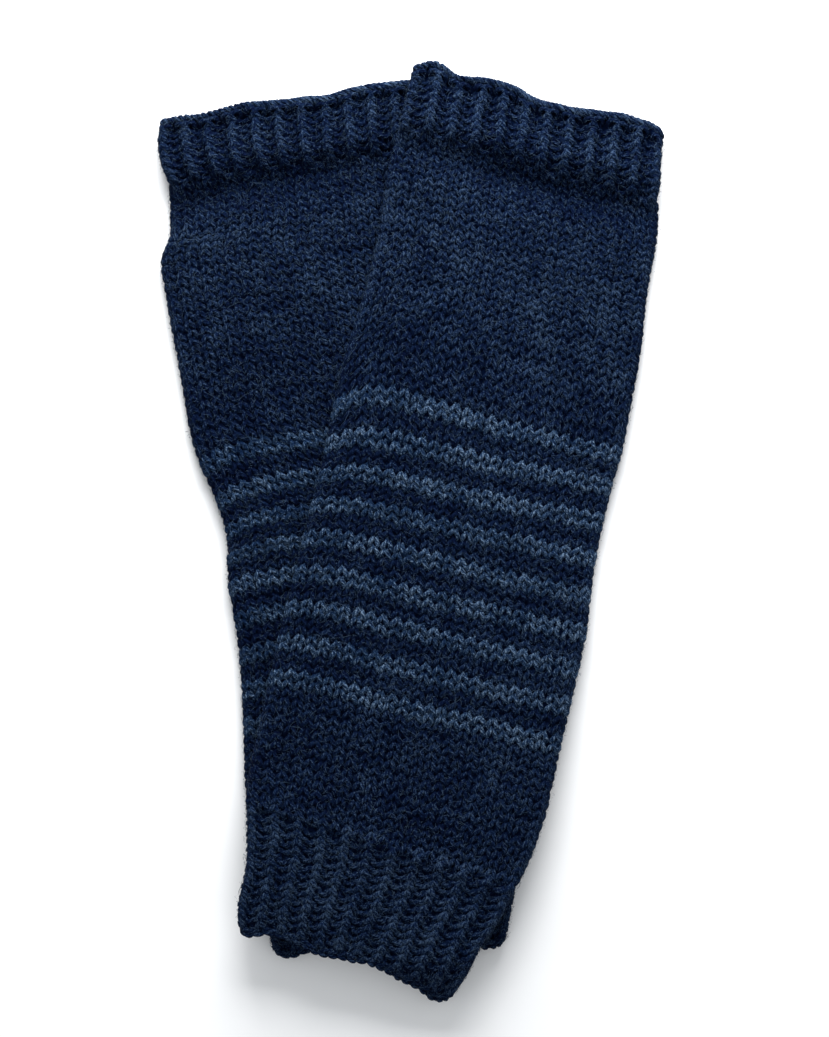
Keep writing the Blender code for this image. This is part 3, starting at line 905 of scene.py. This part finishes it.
def yarn_wool(name, dark, middle, light, pale):
    """Heathered wool in four plies. The UV map gives the way along the yarn in millimetres and round it."""
    nodes = Nodes(name)
    place = nodes.add("ShaderNodeUVMap", {"uv_map": "yarn"}).outputs["UV"]
    parts = nodes.add("ShaderNodeSeparateXYZ", Vector=place).outputs
    twist = nodes.math("DIVIDE", parts["X"], PLY_TURN / PLIES)
    ply = nodes.math("ADD", nodes.math("MULTIPLY", parts["Y"], PLIES), twist)
    wave = nodes.math("SINE", nodes.math("MULTIPLY", ply, 2 * math.pi))
    # Along a ply the fibres are long and thin, so the noise is stretched that way
    fibre_place = nodes.add(
        "ShaderNodeCombineXYZ",
        X=nodes.math("MULTIPLY", parts["X"], 0.55),
        Y=nodes.math("MULTIPLY", ply, 1.5),
    ).outputs["Vector"]
    streaks = nodes.noise(fibre_place, 2.2, 2.0)
    where = nodes.add("ShaderNodeTexCoord").outputs["Object"]
    flecks = nodes.noise(where, 2700, 1.0)
    clouds = nodes.noise(where, 95, 2.0)
    tone = nodes.add("ShaderNodeAttribute", {"attribute_name": "tone"}).outputs["Fac"]
    # Painted shade: the side of the yarn that faces into the cloth is darker, for the shade of the
    # neighbouring loops on it
    painted_inside_shade = nodes.math("COSINE", nodes.math("MULTIPLY", parts["Y"], 2 * math.pi))
    shade = nodes.weighted(
        (streaks, 0.50), (flecks, 0.40), (clouds, 0.10), (wave, 0.035), (tone, 0.06), (painted_inside_shade, -0.03)
    )
    colour = nodes.ramp(shade, (0.44, dark), (0.51, middle), (0.575, light), (0.645, pale))
    nodes.set(nodes.shader.inputs["Base Color"], colour)
    height = nodes.weighted((wave, 0.5), (streaks, 1.2), (flecks, 0.8))
    bump = nodes.add("ShaderNodeBump", Strength=0.85, Distance=0.22 * MM, Height=height)
    nodes.set(nodes.shader.inputs["Normal"], bump.outputs["Normal"])
    nodes.set(nodes.shader.inputs["Roughness"], 0.92)
    nodes.set(nodes.shader.inputs["Specular IOR Level"], 0.04)
    nodes.set(nodes.shader.inputs["Sheen Weight"], 0.05)
    nodes.set(nodes.shader.inputs["Sheen Roughness"], 0.45)
    nodes.set(nodes.shader.inputs["Sheen Tint"], (*light, 1.0))
    return nodes.material


def gap_shade_wool(name, dark, light):
    """The wool under the loops, seen only between them; its dark colour is painted shade for those gaps."""
    nodes = Nodes(name)
    where = nodes.add("ShaderNodeTexCoord").outputs["Object"]
    mottle = nodes.noise(where, 700, 3.0)
    nodes.set(nodes.shader.inputs["Base Color"], nodes.ramp(mottle, (0.35, dark), (0.70, light)))
    bump = nodes.add("ShaderNodeBump", Strength=0.6, Distance=0.2 * MM, Height=mottle)
    nodes.set(nodes.shader.inputs["Normal"], bump.outputs["Normal"])
    nodes.set(nodes.shader.inputs["Roughness"], 0.95)
    nodes.set(nodes.shader.inputs["Specular IOR Level"], 0.02)
    return nodes.material


def stray_fibre(name, dark, light):
    """Single fibres: paler than the yarn, because light passes through them."""
    nodes = Nodes(name)
    tone = nodes.add("ShaderNodeAttribute", {"attribute_name": "tone"}).outputs["Fac"]
    shade = nodes.math("ADD", nodes.math("MULTIPLY", tone, 0.5), 0.5)
    nodes.set(nodes.shader.inputs["Base Color"], nodes.ramp(shade, (0.0, dark), (0.75, light)))
    nodes.set(nodes.shader.inputs["Roughness"], 0.7)
    nodes.set(nodes.shader.inputs["Specular IOR Level"], 0.06)
    return nodes.material


def floor_material():
    nodes = Nodes("floor_white")
    where = nodes.add("ShaderNodeTexCoord").outputs["Object"]
    grain = nodes.noise(where, 60, 3.0)
    colour = nodes.ramp(grain, (0.2, (0.94, 0.94, 0.94)), (0.8, (0.96, 0.96, 0.96)))
    nodes.set(nodes.shader.inputs["Base Color"], colour)
    nodes.set(nodes.shader.inputs["Roughness"], 0.9)
    nodes.set(nodes.shader.inputs["Specular IOR Level"], 0.1)
    return nodes.material


# ---------------------------------------------------------------- a warmer


def sheet_piece(warmer, name, first, last, material):
    """The shell of one piece, attached to the root body."""
    piece = shell(warmer, f"{warmer.name}_{name}", first, last, material)
    dress(piece)


def dress(piece):
    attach(piece, "root")


def hand_warmer(warmer, navy, grey, inside, navy_fibre):
    """All of one warmer: the wide cuff, the body with its stripes, the narrow cuff, edges and halo."""
    end = last_row(warmer)
    narrow = warmer.narrow_from
    grey_rows = [row for row in range(CUFF_ROWS, narrow) if in_stripe(warmer, row)]
    navy_rows = [row for row in range(CUFF_ROWS, narrow) if not in_stripe(warmer, row)]
    half = len(navy_rows) // 2
    wide_rib = knitting(warmer, "wide_rib_yarn", range(1, CUFF_ROWS), navy)
    body_wide = knitting(warmer, "body_yarn_wide_half", navy_rows[:half], navy)
    body_narrow = knitting(warmer, "body_yarn_narrow_half", navy_rows[half:], navy)
    stripes = knitting(warmer, "body_stripes", grey_rows, grey)
    narrow_rib = knitting(warmer, "narrow_rib_yarn", range(narrow, end - 1), navy)
    rope = cast_on_rope(warmer, navy)
    chain = bind_off_chain(warmer, navy)
    stray = halo(warmer, "stray_fibres", STRAY, navy_fibre)
    nap = halo(warmer, "nap", NAP, navy_fibre)
    for piece in (wide_rib, body_wide, body_narrow, narrow_rib, rope, chain, stray, nap):
        dress(piece)
    dress(stripes)
    gap = SEAM_GAP / 2 / ROW_HEIGHT
    sheet_piece(
        warmer, "wide_rib", 0.45, CUFF_ROWS - gap, inside
    )
    sheet_piece(
        warmer, "body", CUFF_ROWS + gap, narrow - gap, inside,
    )
    sheet_piece(
        warmer, "narrow_rib", narrow + gap, end - 0.6, inside
    )


# ---------------------------------------------------------------- floor, light and camera

CAMERA_HEIGHT = 0.90          # above the cloth
CLOTH_HEIGHT = 6 * MM
VIEW_LENGTH = 321.5 * MM      # what the long side of the picture takes in, at the cloth
VIEW_MIDDLE = (1.17 * MM, 4.71 * MM)
SENSOR = 36.0


def make_floor():
    half = 3.0
    corners = [(-half, -half, 0), (half, -half, 0), (half, half, 0), (-half, half, 0)]
    mesh = bpy.data.meshes.new("floor")
    mesh.from_pydata(corners, [], [(0, 1, 2, 3)])
    placed("floor", mesh, floor_material())


def area_light(name, place, size, power, colour):
    """A soft square light that looks at the middle of the pair."""
    data = bpy.data.lights.new(name, "AREA")
    data.size = size
    data.energy = power
    data.color = colour
    lamp = bpy.data.objects.new(name, data)
    lamp.location = place
    lamp.rotation_euler = (-lamp.location).to_track_quat("-Z", "Y").to_euler()
    bpy.context.scene.collection.objects.link(lamp)


def make_light():
    world = bpy.data.worlds.new("studio")
    bpy.context.scene.world = world
    world.use_nodes = True
    background = world.node_tree.nodes["Background"]
    background.inputs["Color"].default_value = (0.94, 0.97, 1.0, 1.0)
    background.inputs["Strength"].default_value = 0.62
    area_light("window", place=(0.01, 0.52, 0.24), size=0.40, power=8.8, colour=(0.98, 0.99, 1.0))


def make_camera():
    data = bpy.data.cameras.new("camera")
    data.sensor_width = SENSOR
    data.lens = SENSOR * CAMERA_HEIGHT / VIEW_LENGTH
    data.clip_start = 0.01
    camera = bpy.data.objects.new("camera", data)
    camera.location = (*VIEW_MIDDLE, CLOTH_HEIGHT + CAMERA_HEIGHT)
    bpy.context.scene.collection.objects.link(camera)
    bpy.context.scene.camera = camera


def main():
    navy = yarn_wool(
        "navy_yarn",
        dark=(0.0002, 0.0021, 0.0134),
        middle=(0.0012, 0.0055, 0.0210),
        light=(0.0044, 0.0130, 0.038),
        pale=(0.028, 0.048, 0.085),
    )
    grey = yarn_wool(
        "grey_yarn",
        dark=(0.0013, 0.0068, 0.025),
        middle=(0.0075, 0.0195, 0.047),
        light=(0.021, 0.043, 0.084),
        pale=(0.100, 0.148, 0.220),
    )
    # Painted shade: the wall under the loops is coloured dark for the gaps between them
    inside = gap_shade_wool("gap_shade_wool", (0.0002, 0.0016, 0.0095), (0.0006, 0.0036, 0.0155))
    fibre = stray_fibre("stray_fibre", (0.0045, 0.0125, 0.029), (0.046, 0.076, 0.122))
    hand_warmer(LOWER, navy, grey, inside, fibre)
    hand_warmer(UPPER, navy, grey, inside, fibre)
    make_floor()
    make_light()
    make_camera()
    bpy.context.scene.view_settings.view_transform = "Standard"


main()
